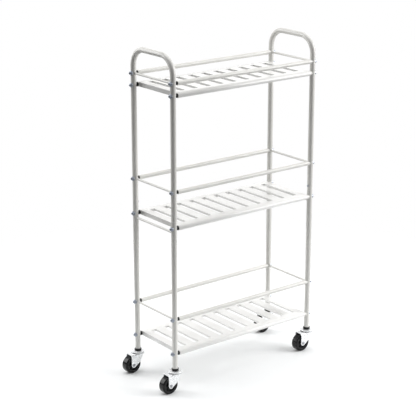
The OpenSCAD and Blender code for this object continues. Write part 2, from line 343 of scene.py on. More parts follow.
@dataclass(frozen=True)
class EnamelFinish:
    """Glossy white enamel, baked on steel, with a fine orange peel and a trace of dust."""

    name: str = "sheet_enamel"
    paint: Colour = (0.825, 0.82, 0.805)
    shade: Colour = (0.755, 0.75, 0.735)
    speck: Colour = (0.45, 0.44, 0.42)
    dust: Colour = (0.62, 0.60, 0.56)
    gloss: float = 0.24
    coat: float = 0.35
    coat_gloss: float = 0.08
    ior: float = 1.5
    cloud_scale: float = 14.0
    speck_scale: float = 900.0
    dust_scale: float = 55.0
    rub_scale: Triple = (60.0, 60.0, 700.0)
    peel_scale: float = 420.0
    fine_scale: float = 1300.0
    peel_depth: float = 0.05 * MM

    def build(self) -> bpy.types.Material:
        """Makes the material.

        Returns:
            The finished material.
        """
        s = Surface(self.name)
        cloud = s.noise(self.cloud_scale, 4.0, 0.6)
        speck = s.noise(self.speck_scale, 2.0, 0.7).step(0.62, 0.78)
        dust = s.upward() * s.noise(self.dust_scale, 5.0, 0.7).step(0.4, 0.8)
        tone = s.blend(cloud.step(0.35, 0.75) * 0.55, self.paint, self.shade)
        tone = s.blend(speck * 0.10, tone, self.speck)
        tone = s.blend(dust * 0.10, tone, self.dust)
        rub = s.noise(1.0, 3.0, 0.6, s.stretched(self.rub_scale))
        rough = self.gloss + cloud * 0.08 + rub * 0.05 + dust * 0.12
        s.dress(Base_Color=tone, Roughness=rough, IOR=self.ior)
        s.dress(Coat_Weight=self.coat, Coat_Roughness=self.coat_gloss)
        peel = s.noise(self.peel_scale, 2.0) + s.noise(self.fine_scale, 1.0) * 0.3
        s.relief(peel, self.peel_depth, 0.5)
        return s.material


@dataclass(frozen=True)
class ZincFinish:
    """Blue-white zinc plating with a soft spangle and handling marks."""

    name: str = "zinc_bright"
    metal: Colour = (0.94, 0.95, 0.96)
    stain: Colour = (0.74, 0.77, 0.81)
    rough: float = 0.18
    metallic: float = 0.60
    spangle: Colour = (0.93, 0.94, 0.96)
    cloud_scale: float = 120.0
    spangle_scale: float = 1100.0
    drawn_scale: Triple = (300.0, 300.0, 3200.0)
    relief_depth: float = 0.02 * MM

    def build(self) -> bpy.types.Material:
        """Makes the material.

        Returns:
            The finished material.
        """
        s = Surface(self.name)
        cloud = s.noise(self.cloud_scale, 4.0, 0.65)
        spangle = s.cells(self.spangle_scale)
        drawn = s.noise(1.0, 2.0, 0.6, s.stretched(self.drawn_scale))
        tone = s.blend(cloud.step(0.4, 0.8) * 0.4, self.metal, self.stain)
        tone = s.blend(spangle.step(0.3, 0.9) * 0.18, tone, self.spangle)
        rough = self.rough + cloud * 0.12 + drawn * 0.08
        s.dress(Base_Color=tone, Metallic=self.metallic, Roughness=rough)
        s.relief(drawn + spangle * 0.3, self.relief_depth, 0.4)
        return s.material


@dataclass(frozen=True)
class PlasticFinish:
    """Moulded black plastic with a fine grain and faint dust."""

    name: str = "black_plastic"
    pigment: Colour = (0.006, 0.006, 0.007)
    bloom: Colour = (0.022, 0.022, 0.024)
    rough: float = 0.26
    ior: float = 1.49
    shine: float = 0.35
    cloud_scale: float = 90.0
    grain_scale: float = 2400.0
    dust_scale: float = 160.0
    grain_depth: float = 0.03 * MM

    def build(self) -> bpy.types.Material:
        """Makes the material.

        Returns:
            The finished material.
        """
        s = Surface(self.name)
        cloud = s.noise(self.cloud_scale, 4.0, 0.65)
        grain = s.noise(self.grain_scale, 2.0, 0.6)
        dust = s.upward() * s.noise(self.dust_scale, 4.0, 0.7).step(0.45, 0.8)
        tone = s.blend(cloud.step(0.45, 0.85) * 0.4 + dust * 0.35, self.pigment, self.bloom)
        rough = self.rough + cloud * 0.14 + dust * 0.2
        s.dress(Base_Color=tone, Roughness=rough, IOR=self.ior, Specular_IOR_Level=self.shine)
        s.relief(grain, self.grain_depth, 0.5)
        return s.material


@dataclass(frozen=True)
class TyreFinish:
    """Black wheel tyre: glossy on its sides, scuffed and dusty where it rolls."""

    name: str
    axle: Vector
    tread_start: float
    tread_end: float
    side: Colour = (0.003, 0.003, 0.004)
    tread: Colour = (0.007, 0.007, 0.008)
    dust: Colour = (0.035, 0.034, 0.033)
    rough: float = 0.12
    ior: float = 1.5
    shine: float = 0.22
    coat_gloss: float = 0.08
    scuff_scale: float = 260.0
    grit_scale: float = 900.0
    fine_scale: float = 1800.0
    relief_depth: float = 0.03 * MM

    def build(self) -> bpy.types.Material:
        """Makes the material, centred on one wheel's axle.

        Returns:
            The finished material.
        """
        s = Surface(self.name)
        near = s.combined("SUBTRACT", s.place(), tuple(self.axle))
        across_axle = s.combined("MULTIPLY", near, (1.0, 0.0, 1.0))
        rolled = s.length(across_axle).step(self.tread_start, self.tread_end)
        scuff = s.noise(self.scuff_scale, 5.0, 0.7)
        tone = s.blend(rolled * (0.55 + scuff * 0.6), self.side, self.tread)
        grit = s.noise(self.grit_scale, 3.0, 0.7).step(0.6, 0.75)
        tone = s.blend(rolled * grit * 0.3, tone, self.dust)
        rough = self.rough + rolled * 0.06 + scuff * 0.08
        s.dress(Base_Color=tone, Roughness=rough, IOR=self.ior, Specular_IOR_Level=self.shine)
        s.dress(Coat_Weight=rolled * 0.15, Coat_Roughness=self.coat_gloss)
        s.relief(scuff + s.noise(self.fine_scale, 2.0) * 0.5, self.relief_depth, 0.4)
        return s.material


@dataclass(frozen=True)
class FloorFinish:
    """Pale matt sweep that fades out far from the object."""

    name: str = "floor"
    tone: Colour = (0.885, 0.895, 0.90)
    worn: Colour = (0.85, 0.86, 0.865)
    rough: float = 0.85
    grain_scale: float = 40.0
    glow: Colour = (1.0, 1.0, 1.0)
    lift: float = 0.02
    fade_start: float = 0.50
    fade_end: float = 1.35

    def build(self) -> bpy.types.Material:
        """Makes the material.

        Returns:
            The finished material.
        """
        s = Surface(self.name)
        grain = s.noise(self.grain_scale, 5.0, 0.6)
        tone = s.blend(grain * 0.12, self.tone, self.worn)
        s.dress(Base_Color=tone, Roughness=self.rough)
        s.dress(Alpha=1 - s.length(s.place()).step(self.fade_start, self.fade_end))
        s.dress(Emission_Color=self.glow, Emission_Strength=self.lift)
        return s.material


# ---- Mesh helpers ----


def publish(
    mesh: bmesh.types.BMesh,
    name: str,
    material: bpy.types.Material,
    body: str,
    replaced: Sequence[str] = (),
) -> bpy.types.Object:
    """Turns a finished bmesh into a piece that rides on a body.

    Args:
        mesh: The shape, in the CAD frame, in metres. It is freed.
        name: Name of the piece.
        material: Its finish.
        body: CAD body that it rides on.
        replaced: CAD nodes that it stands for.

    Returns:
        The new object.
    """
    bmesh.ops.remove_doubles(mesh, verts=mesh.verts, dist=WELD_GAP)
    bmesh.ops.recalc_face_normals(mesh, faces=mesh.faces)
    data = bpy.data.meshes.new(name)
    mesh.to_mesh(data)
    mesh.free()
    data.polygons.foreach_set("use_smooth", [True] * len(data.polygons))
    data.set_sharp_from_angle(angle=SMOOTH_ANGLE)
    data.materials.append(material)
    piece = bpy.data.objects.new(name, data)
    bpy.context.scene.collection.objects.link(piece)
    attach(piece, body)
    if replaced:
        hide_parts(*replaced)
    LOG.info("%s on %s: %d faces", name, body, len(data.polygons))
    return piece


def spun(profile: Sequence[tuple[float, float]], segments: int = 48) -> bmesh.types.BMesh:
    """Turns a closed or axis-to-axis profile round Z.

    Args:
        profile: Radius and height of each point, in metres, in order.
        segments: Number of steps round the axis.

    Returns:
        A new bmesh with the turned skin.
    """
    mesh = bmesh.new()
    points = [mesh.verts.new((r, 0.0, z)) for r, z in profile]
    edges = [mesh.edges.new(pair) for pair in zip(points, points[1:])]
    if profile[0][0] > 0 or profile[-1][0] > 0:
        edges.append(mesh.edges.new((points[-1], points[0])))
    bmesh.ops.spin(
        mesh,
        geom=points + edges,
        cent=(0, 0, 0),
        axis=(0, 0, 1),
        angle=2 * HALF_TURN,
        steps=segments,
        use_merge=True,
        use_duplicate=False,
    )
    bmesh.ops.remove_doubles(mesh, verts=mesh.verts, dist=WELD_GAP)
    return mesh


def rounded(
    corners: Sequence[Triple], steps: int = 4
) -> list[tuple[float, float]]:
    """Rounds the corners of an open profile.

    Args:
        corners: Radius, height and corner radius of each point.
        steps: Number of steps in each rounded corner.

    Returns:
        The points of the rounded profile.
    """
    points: list[tuple[float, float]] = []
    last = len(corners) - 1
    for index, (r, z, size) in enumerate(corners):
        here = Vector((r, z))
        if size <= 0 or index in (0, last):
            points.append((r, z))
            continue
        before = (Vector(corners[index - 1][:2]) - here).normalized()
        after = (Vector(corners[index + 1][:2]) - here).normalized()
        start, end = here + before * size, here + after * size
        for step in range(steps + 1):
            t = step / steps
            point = start * (1 - t) ** 2 + here * 2 * t * (1 - t) + end * t**2
            points.append((point.x, point.y))
    return points


def joined(parts: Iterable[bmesh.types.BMesh]) -> bmesh.types.BMesh:
    """Joins several bmeshes into one.

    Args:
        parts: The bmeshes, which are freed.

    Returns:
        The whole.
    """
    whole = bmesh.new()
    for part in parts:
        carrier = bpy.data.meshes.new("carrier")
        part.to_mesh(carrier)
        part.free()
        whole.from_mesh(carrier)
        bpy.data.meshes.remove(carrier)
    return whole


def placed(mesh: bmesh.types.BMesh, matrix: Matrix) -> bmesh.types.BMesh:
    """Moves a bmesh.

    Args:
        mesh: The bmesh.
        matrix: The move.

    Returns:
        The same bmesh, moved.
    """
    bmesh.ops.transform(mesh, matrix=matrix, verts=mesh.verts)
    return mesh


def middle(node: str) -> Vector:
    """Finds the middle of a CAD node's box.

    Args:
        node: The CAD node.

    Returns:
        The middle, in metres.
    """
    low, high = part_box(node)
    return (low + high) / 2


def facing(side_x: int) -> Matrix:
    """Turn that takes +Z to +X or -X, as the side's sign says."""
    return Matrix.Rotation(side_x * HALF_TURN / 2, 4, "Y")


def finish_node(node: str, material: bpy.types.Material) -> None:
    """Gives a CAD node its finish.

    Args:
        node: The CAD node.
        material: Its finish.
    """
    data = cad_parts[node].data
    data.materials.clear()
    data.materials.append(material)
    LOG.info("%s: %s", node, material.name)


def softened(
    node: str, width: float, material: bpy.types.Material, body: str
) -> bpy.types.Object:
    """Replaces a CAD node with a copy whose sharp edges are rounded off.

    Args:
        node: The CAD node.
        width: Width of the rounding, in metres.
        material: Its finish.
        body: CAD body that it rides on.

    Returns:
        The new object.
    """
    mesh = bmesh.new()
    mesh.from_mesh(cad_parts[node].data)
    bmesh.ops.remove_doubles(mesh, verts=mesh.verts, dist=CAD_WELD_GAP)
    bmesh.ops.dissolve_limit(mesh, angle_limit=FLAT_ANGLE, verts=mesh.verts, edges=mesh.edges)
    folds = [e for e in mesh.edges if len(e.link_faces) == 2 and e.calc_length() > 2 * width]
    sharp = [e for e in folds if e.calc_face_angle(0.0) > SHARP_ANGLE]
    bmesh.ops.bevel(
        mesh,
        geom=sharp,
        offset=width,
        offset_type="OFFSET",
        segments=2,
        profile=0.5,
        affect="EDGES",
        clamp_overlap=True,
        material=-1,
    )
    return publish(mesh, f"{node}_formed", material, body, [node])


# ---- Sub-assemblies ----


@dataclass
class Fasteners:
    """Frame bolts and leg screws with driver recesses and saddle washers."""

    zinc: bpy.types.Material
    head_r: float = 4.7 * MM
    head_h: float = 5.0 * MM
    socket_r: float = 2.1 * MM
    socket_depth: float = 1.8 * MM
    washer_r: float = 5.9 * MM
    washer_t: float = 1.5 * MM
    washer_edge: float = 0.3 * MM
    washer_lift: float = 0.02 * MM
    shank_r: float = 2.5 * MM
    shank_l: float = 30.0 * MM
    screw_r: float = 3.2 * MM
    screw_h: float = 2.0 * MM
    screw_shank_r: float = 1.8 * MM
    screw_shank_l: float = 4.0 * MM
    segments: int = 24
    dome_steps: int = 5
    edge_share: float = 1 / 3
    foot_share: float = 0.97
    rim_share: float = 1.12
    hex_share: float = 0.5
    cross_share: float = 0.55
    arm_share: float = 0.3
    recess_taper: float = 0.92
    bolt_twist: float = 0.37
    bolt_twist_rate: float = 9.0
    screw_twist: float = 0.5

    def head(
        self, radius: float, height: float, shank: float, length: float, recess: Recess
    ) -> bmesh.types.BMesh:
        """Builds one domed head on z = 0, with its recess and its shank below.

        Args:
            radius: Radius of the head.
            height: Height of the head.
            shank: Radius of the shank.
            length: Length of the shank under the head.
            recess: Kind of the driver recess.

        Returns:
            A closed bmesh.
        """
        edge = height * self.edge_share
        rise = height - edge
        mouth = radius * self.cross_share
        if recess is Recess.HEX:
            mouth = min(self.socket_r, radius * self.hex_share)
        rings = [(shank, -length), (shank, 0.0), (radius * self.foot_share, 0.0)]
        rings += [(radius, edge * 0.25), (radius, edge)]
        for step in range(1, self.dome_steps + 1):
            r = radius + (mouth * self.rim_share - radius) * step / self.dome_steps
            rings.append((r, edge + rise * (1 - (r / radius) ** 2)))
        mesh = bmesh.new()
        made = bmesh.ops.create_circle(mesh, cap_ends=True, radius=shank, segments=self.segments)
        bmesh.ops.translate(mesh, verts=made["verts"], vec=(0, 0, -length))
        loop = list(mesh.edges)
        for r, z in rings[1:]:
            loop = self._next_ring(mesh, loop, lambda angle, r=r: r, z)
        top = rings[-1][1]
        outline = self._outline(recess, mouth)
        loop = self._next_ring(mesh, loop, outline, top)
        taper = self.recess_taper
        floor = top - self.socket_depth
        loop = self._next_ring(mesh, loop, lambda angle: outline(angle) * taper, floor)
        bmesh.ops.contextual_create(mesh, geom=loop)
        return mesh

    def _outline(self, recess: Recess, mouth: float) -> Callable[[float], float]:
        """Makes the outline of a recess.

        Args:
            recess: Kind of the recess.
            mouth: Radius of its corners or arms.

        Returns:
            The outline's radius at each angle.
        """
        if recess is Recess.HEX:
            half = math.pi / 6
            return lambda angle: mouth * math.cos(half) / math.cos((angle % (math.pi / 3)) - half)
        arm = mouth * self.arm_share

        def cross(angle: float) -> float:
            """Radius of a plus sign's outline at one angle."""
            c, s = (max(abs(turned(angle)), 1e-6) for turned in (math.cos, math.sin))
            return max(min(mouth / c, arm / s), min(arm / c, mouth / s))

        return cross

    def _next_ring(
        self,
        mesh: bmesh.types.BMesh,
        loop: list[bmesh.types.BMEdge],
        radius: Callable[[float], float],
        z: float,
    ) -> list[bmesh.types.BMEdge]:
        """Extrudes a ring of edges.

        Args:
            mesh: The bmesh.
            loop: Edges of the last ring.
            radius: Radius of the new ring at each angle.
            z: Height of the new ring.

        Returns:
            Edges of the new ring.
        """
        made = bmesh.ops.extrude_edge_only(mesh, edges=loop)["geom"]
        for vert in (v for v in made if isinstance(v, bmesh.types.BMVert)):
            angle = math.atan2(vert.co.y, vert.co.x)
            r = radius(angle)
            vert.co = (r * math.cos(angle), r * math.sin(angle), z)
        edges = [e for e in made if isinstance(e, bmesh.types.BMEdge) and len(e.link_faces) == 1]
        return [e for e in edges if e.verts[0].co.z == e.verts[1].co.z]

    def washer(self) -> bmesh.types.BMesh:
        """Builds a saddle washer on z = 0, whose foot follows the round of the leg.

        Returns:
            A closed bmesh.
        """
        profile = [
            (self.shank_r, 0.0, 0.0),
            (self.washer_r, 0.0, 0.0),
            (self.washer_r, self.washer_t, self.washer_edge),
            (self.shank_r, self.washer_t, 0.0),
        ]
        mesh = spun(rounded(profile, 3), self.segments)
        for vert in mesh.verts:
            if vert.co.z < self.washer_t / 2:
                vert.co.z -= LEG_R - math.sqrt(LEG_R**2 - vert.co.y**2) - self.washer_lift
        return mesh

    def dress(self, side: str, side_x: int, levels: Sequence[float]) -> None:
        """Replaces the bolts of one end frame.

        Args:
            side: Name of the end frame.
            side_x: Its side along X.
            levels: Height of each bolt level.
        """
        parts: list[bmesh.types.BMesh] = []
        for depth in ("front", "back"):
            leg = middle(f"{depth}_{side}_leg")
            for index, height in enumerate(levels):
                face = Matrix.Translation((leg.x + side_x * LEG_R, leg.y, height))
                spot = face @ facing(side_x)
                angle = self.bolt_twist * index + leg.y * self.bolt_twist_rate
                twist = Matrix.Rotation(angle, 4, "Z")
                seat = spot @ Matrix.Translation((0, 0, self.washer_t)) @ twist
                head = self.head(self.head_r, self.head_h, self.shank_r, self.shank_l, Recess.HEX)
                parts.append(placed(head, seat))
                parts.append(placed(self.washer(), spot))
        replaced = [f"{side}_bolts"]
        publish(joined(parts), f"{side}_bolt_set", self.zinc, "cart", replaced)

    def dress_screws(self, height: float) -> None:
        """Replaces the four leg screws.

        Args:
            height: Height of the screws.
        """
        parts: list[bmesh.types.BMesh] = []
        for corner in Corner:
            name, side_x = corner.value
            leg = middle(f"{name}_leg")
            head = self.head(
                self.screw_r, self.screw_h, self.screw_shank_r, self.screw_shank_l, Recess.CROSS
            )
            face = Matrix.Translation((leg.x - side_x * LEG_R, leg.y, height))
            twist = Matrix.Rotation(self.screw_twist + leg.x, 4, "Z")
            parts.append(placed(head, face @ facing(-side_x) @ twist))
        replaced = ["leg_screws"]
        publish(joined(parts), "leg_screw_set", self.zinc, "cart", replaced)


@dataclass
class Welds:
    """Small fillet welds where the guard rods and cross bars meet the legs."""

    enamel: bpy.types.Material
    bead_r: float = 1.25 * MM
    round_steps: int = 28
    bead_steps: int = 10
    bead_out: float = 0.25
    swell: float = 0.12
    swell_waves: int = 7
    wobble_rate: float = 90.0
    reach_share: float = 0.9

    def bead(self, rod_r: float, wobble: float) -> bmesh.types.BMesh:
        """Builds one bead round a rod along +Y whose end is on the leg's axis at the origin.

        Args:
            rod_r: Radius of the rod.
            wobble: Start of the bead's uneven thickness.

        Returns:
            A closed bead.
        """
        mesh = bmesh.new()
        made = bmesh.ops.create_circle(mesh, radius=self.bead_r, segments=self.bead_steps)
        centre = rod_r + self.bead_r * self.bead_out
        bmesh.ops.translate(mesh, verts=made["verts"], vec=(centre, 0, 0))
        bmesh.ops.spin(
            mesh,
            geom=list(mesh.verts) + list(mesh.edges),
            cent=(0, 0, 0),
            axis=(0, 1, 0),
            angle=2 * HALF_TURN,
            steps=self.round_steps,
            use_merge=True,
        )
        for vert in mesh.verts:
            around = math.atan2(vert.co.z, vert.co.x)
            swell = 1 + self.swell * math.sin(self.swell_waves * around + wobble)
            reach = math.hypot(vert.co.x, vert.co.z)
            scale = (rod_r + (reach - rod_r) * swell) / reach
            vert.co.x *= scale
            vert.co.z *= scale
            aside = min(abs(vert.co.x), LEG_R * self.reach_share)
            vert.co.y = vert.co.y * swell + math.sqrt(LEG_R**2 - aside**2)
        return mesh

    def dress(self, nodes: Sequence[str]) -> None:
        """Adds a bead at both ends of each rod.

        Args:
            nodes: The rods and bars.
        """
        parts: list[bmesh.types.BMesh] = []
        for node in nodes:
            low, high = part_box(node)
            axis_x, axis_z = (low.x + high.x) / 2, (low.z + high.z) / 2
            rod_r = (high.z - low.z) / 2
            side = "left" if "left" in node else "right"
            for depth, turn in (("front", 0.0), ("back", HALF_TURN)):
                leg = middle(f"{depth}_{side}_leg")
                spot = Matrix.Translation((axis_x, leg.y, axis_z)) @ Matrix.Rotation(turn, 4, "Z")
                bead = self.bead(rod_r, axis_z * self.wobble_rate + turn)
                parts.append(placed(bead, spot))
        publish(joined(parts), "rod_welds", self.enamel, "cart")


@dataclass
class LegJoints:
    """Rolled lips where the upper frames slip over the lower legs."""

    enamel: bpy.types.Material
    lip: float = 0.45 * MM
    lip_edge: float = 0.3 * MM
    sink: float = 0.2 * MM
    foot: float = 0.15 * MM
    shoulder: float = 2.2 * MM
    top: float = 3.0 * MM

    def dress(self, height: float) -> None:
        """Adds a lip round each leg.

        Args:
            height: Height of the joint.
        """
        profile = [
            (LEG_R - self.sink, self.foot, 0.0),
            (LEG_R + self.lip, self.foot, self.lip_edge),
            (LEG_R + self.lip, self.shoulder, self.lip_edge),
            (LEG_R - self.sink, self.top, 0.0),
        ]
        parts: list[bmesh.types.BMesh] = []
        for corner in Corner:
            leg = middle(f"{corner.value[0]}_leg")
            ring = spun(rounded(profile))
            parts.append(placed(ring, Matrix.Translation((leg.x, leg.y, height))))
        publish(joined(parts), "leg_joint_lips", self.enamel, "cart")


@dataclass
class Caster:
    """One swivel caster: collar, race and stem, fork, axle, hub and tyre."""

    corner: Corner
    zinc: bpy.types.Material
    steel: bpy.types.Material
    plastic: bpy.types.Material
    fit: float = 0.05 * MM
    collar_r: float = 9.8 * MM
    collar_h: float = 6.5 * MM
    collar_chamfer_w: float = 0.9 * MM
    collar_chamfer_h: float = 1.2 * MM
    groove_depth: float = 0.35 * MM
    groove_mouth: tuple[float, float] = (2.8 * MM, 3.9 * MM)
    groove_floor: tuple[float, float] = (3.1 * MM, 3.6 * MM)
    plug_r: float = 6.75 * MM
    stem_r: float = 4.0 * MM
    race_t: float = 2.0 * MM
    race_dish: float = 0.7 * MM
    race_slope: tuple[float, float] = (5.4 * MM, 4.2 * MM)
    race_rim_h: float = 1.0 * MM
    race_rim_w: float = 2.5 * MM
    race_rim_chamfer: float = 0.6 * MM
    race_steps: int = 64
    track_r: float = 13.5 * MM
    track_h: float = 2.7 * MM
    # Inset and drop of the black ring under the race rim, which paints the shade in the gap there
    shade_ring_inset: float = 1.5 * MM
    shade_ring_gap: float = 0.3 * MM
    ring_steps: int = 56
    fork_edge: float = 0.35 * MM
    pin_r: float = 4.5 * MM
    pin_head_r: float = 6.5 * MM
    pin_head_h: float = 2.2 * MM
    pin_head_edge: float = 0.9 * MM
    pin_dome: float = 0.6
    rivet_r: float = 4.5 * MM
    rivet_h: float = 1.6 * MM
    rivet_edge: float = 1.1 * MM
    rivet_shoulder: float = 0.45 * MM
    rivet_shoulder_share: float = 0.72
    rivet_dimple_r: float = 1.6 * MM
    rivet_dimple: float = 0.35 * MM
    rivet_ring: float = 0.10 * MM
    rivet_ring_share: float = 1.5
    rivet_steps: int = 32
    axle_r: float = 3.0 * MM
    hub_rim_t: float = 4.0 * MM
    hub_boss_r: float = 6.0 * MM
    hub_web_t: float = 12.0 * MM
    rib_t: float = 1.8 * MM
    rib_count: int = 6
    rib_edge: float = 0.5 * MM
    rib_sink: float = 0.4 * MM
    rib_foot: float = 0.3 * MM
    rib_inset: float = 1.0 * MM
    tread_w: tuple[float, float] = (3.2 * MM, 0.8 * MM)
    wall_ring: float = 0.22 * MM
    wall_ring_sink: float = 0.1 * MM
    wall_ring_spots: tuple[float, float] = (0.55 * MM, 1.9 * MM)

    @property
    def name(self) -> str:
        """Name of the leg."""
        return self.corner.value[0]

    def dress(self) -> None:
        """Builds and dresses every piece of the caster."""
        self.dress_collar()
        self.dress_race()
        self.dress_fork()
        self.dress_axle()
        self.dress_wheel()

    def dress_collar(self) -> None:
        """Replaces the plain socket with a collar that has soft edges and a shallow groove."""
        low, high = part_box(f"{self.name}_socket")
        axis = middle(f"{self.name}_socket")
        foot = low.z + self.collar_h
        bore = self.stem_r + self.fit
        groove = self.collar_r - self.groove_depth
        profile = rounded(
            [
                (bore, low.z, 0.0),
                (self.collar_r - self.collar_chamfer_w, low.z, 0.0),
                (self.collar_r, low.z + self.collar_chamfer_h, 0.6 * MM),
                (self.collar_r, low.z + self.groove_mouth[0], 0.0),
                (groove, low.z + self.groove_floor[0], 0.0),
                (groove, low.z + self.groove_floor[1], 0.0),
                (self.collar_r, low.z + self.groove_mouth[1], 0.0),
                (self.collar_r, foot, 1.0 * MM),
                (self.plug_r, foot, 0.0),
                (self.plug_r, high.z, 0.4 * MM),
                (bore, high.z, 0.0),
            ]
        )
        mesh = placed(spun(profile), Matrix.Translation((axis.x, axis.y, 0)))
        replaced = [f"{self.name}_socket"]
        publish(mesh, f"{self.name}_collar", self.plastic, "cart", replaced)

    def dress_race(self) -> None:
        """Replaces the plain stem with a dished race, a rolled rim and a domed king pin."""
        low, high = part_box(f"{self.name}_stem")
        axis = middle(f"{self.name}_stem")
        race_r = (high.x - low.x) / 2
        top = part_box(f"{self.name}_socket")[0].z
        under = top - self.race_t
        rim = under - self.race_rim_h
        dish = top - self.race_dish
        inner = race_r - self.race_rim_w
        profile = rounded(
            [
                (0.0, high.z, 0.0),
                (self.stem_r, high.z, 0.8 * MM),
                (self.stem_r, top, 0.0),
                (race_r - self.race_slope[0], top, 0.8 * MM),
                (race_r - self.race_slope[1], dish, 0.5 * MM),
                (race_r, dish, 0.9 * MM),
                (race_r, rim, 0.25 * MM),
                (race_r - self.race_rim_w * 0.5, rim, 0.25 * MM),
                (inner, rim + self.race_rim_chamfer, 0.0),
                (inner, under, 0.0),
                (self.pin_r, under, 0.0),
                (self.pin_r, low.z + self.pin_head_h, 0.0),
                (self.pin_head_r, low.z + self.pin_head_h, 0.0),
                (self.pin_head_r, low.z + self.pin_head_edge, 0.6 * MM),
                (self.pin_head_r * self.pin_dome, low.z, 0.8 * MM),
                (0.0, low.z, 0.0),
            ]
        )
        spot = Matrix.Translation((axis.x, axis.y, 0))
        mesh = placed(spun(profile, self.race_steps), spot)
        replaced = [f"{self.name}_stem"]
        publish(mesh, f"{self.name}_race", self.zinc, "cart", replaced)
        # The black ring under the race paints the shade in the gap between race and fork plate
        self.add_gap_shade_ring(spot, race_r - self.shade_ring_inset, rim - self.shade_ring_gap)

    def add_gap_shade_ring(self, spot: Matrix, edge: float, top: float) -> None:
        """Adds a black ring on the fork's plate, round its track: painted shade that darkens the
        gap under the race.

        Args:
            spot: Place of the king pin's axis.
            edge: Outer radius.
            top: Height of the ring's top.
        """
        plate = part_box(f"{self.name}_fork")[1].z - self.track_h
        bore = self.track_r + self.fit
        foot = plate + self.fit
        profile = rounded(
            [
                (bore, foot, 0.0),
                (edge, foot, 0.3 * MM),
                (edge - 0.3 * MM, top, 0.4 * MM),
                (bore, top, 0.0),
            ]
        )
        shade_ring = placed(spun(profile, self.ring_steps), spot)
        body = f"{self.name}_caster"
        publish(shade_ring, f"{self.name}_gap_shade_ring", self.plastic, body)

    def dress_fork(self) -> None:
        """Softens the folded fork's edges and gives it its plating."""
        body = f"{self.name}_caster"
        softened(f"{self.name}_fork", self.fork_edge, self.zinc, body)

    def dress_axle(self) -> None:
        """Replaces the plain axle with a rivet that has a dimple in each head."""
        low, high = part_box(f"{self.name}_axle")
        axis = middle(f"{self.name}_axle")
        tip = (high.y - low.y) / 2
        side = [
            (0.0, -self.rivet_dimple, 0.0),
            (self.rivet_dimple_r, -self.rivet_ring, 0.5 * MM),
            (self.rivet_dimple_r * self.rivet_ring_share, 0.0, 0.5 * MM),
            (self.rivet_r * self.rivet_shoulder_share, -self.rivet_shoulder, 0.6 * MM),
            (self.rivet_r, -self.rivet_edge, 0.3 * MM),
            (self.rivet_r, -self.rivet_h, 0.0),
            (self.axle_r, -self.rivet_h, 0.0),
        ]
        upper = [(r, tip + z, c) for r, z, c in side]
        lower = [(r, -(tip + z), c) for r, z, c in reversed(side)]
        profile = rounded(upper) + rounded(lower)
        turn = Matrix.Translation(axis) @ Matrix.Rotation(HALF_TURN / 2, 4, "X")
        mesh = placed(spun(profile, self.rivet_steps), turn)
        body, replaced = f"{self.name}_caster", [f"{self.name}_axle"]
        publish(mesh, f"{self.name}_rivet", self.steel, body, replaced)

    def rib(self, inner: float, outer: float, low: float, high: float) -> bmesh.types.BMesh:
        """Builds one soft-edged rib along +X between two radii and two heights.

        Args:
            inner: Radius at which it starts.
            outer: Radius at which it ends.
            low: Lower height.
            high: Upper height.

        Returns:
            A closed rib.
        """
        mesh = bmesh.new()
        bmesh.ops.create_cube(mesh, size=1.0)
        halfway = (low + high) / 2
        scale = Matrix.Diagonal((outer - inner, self.rib_t, high - low, 1.0))
        placed(mesh, Matrix.Translation(((inner + outer) / 2, 0, halfway)) @ scale)
        ridge = [e for e in mesh.edges if all(v.co.z > halfway for v in e.verts)]
        bmesh.ops.bevel(
            mesh,
            geom=ridge,
            offset=self.rib_edge,
            segments=2,
            profile=0.5,
            affect="EDGES",
            material=-1,
        )
        return mesh

    def wall_rings(self, hub_r: float, half_w: float) -> list[bmesh.types.BMesh]:
        """Builds the moulded rings of one tyre wall round +Z.

        Args:
            hub_r: Radius at which the tyre starts.
            half_w: Half the tyre's width.

        Returns:
            The rings.
        """
        foot = half_w - self.wall_ring_sink
        crest = half_w + self.wall_ring
        rings: list[bmesh.types.BMesh] = []
        for spot in self.wall_ring_spots:
            radius = hub_r + spot
            profile = [
                (radius - 2 * self.wall_ring, foot),
                (radius - self.wall_ring, crest),
                (radius + self.wall_ring, crest),
                (radius + 2 * self.wall_ring, foot),
            ]
            rings.append(spun(profile, self.ring_steps))
        return rings

    def dress_wheel(self) -> None:
        """Dresses hub and tyre, and adds hub ribs and moulded rings on the tyre walls."""
        hub_low, hub_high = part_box(f"{self.name}_hub")
        tyre_low, tyre_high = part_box(f"{self.name}_tyre")
        axis = middle(f"{self.name}_hub")
        hub_r = (hub_high.x - hub_low.x) / 2
        wheel_r = (tyre_high.x - tyre_low.x) / 2
        half_w = (tyre_high.y - tyre_low.y) / 2
        body = f"{self.name}_wheel"
        finish_node(f"{self.name}_hub", self.plastic)
        start, end = (wheel_r - width for width in self.tread_w)
        rubber = TyreFinish(f"{self.name}_tyre", axis, start, end).build()
        finish_node(f"{self.name}_tyre", rubber)
        inner = self.hub_boss_r - self.rib_sink
        outer = hub_r - self.hub_rim_t + self.rib_sink
        foot = self.hub_web_t / 2 - self.rib_foot
        ribs: list[bmesh.types.BMesh] = []
        rings: list[bmesh.types.BMesh] = []
        for side in (0.0, HALF_TURN):
            turn = Matrix.Translation(axis) @ Matrix.Rotation(HALF_TURN / 2 + side, 4, "X")
            for index in range(self.rib_count):
                spoke = Matrix.Rotation(index * 2 * HALF_TURN / self.rib_count, 4, "Z")
                rib = self.rib(inner, outer, foot, half_w - self.rib_inset)
                ribs.append(placed(rib, turn @ spoke))
            rings += [placed(ring, turn) for ring in self.wall_rings(hub_r, half_w)]
        publish(joined(ribs), f"{self.name}_hub_ribs", self.plastic, body)
        publish(joined(rings), f"{self.name}_tyre_rings", rubber, body)


# ---- Studio ----


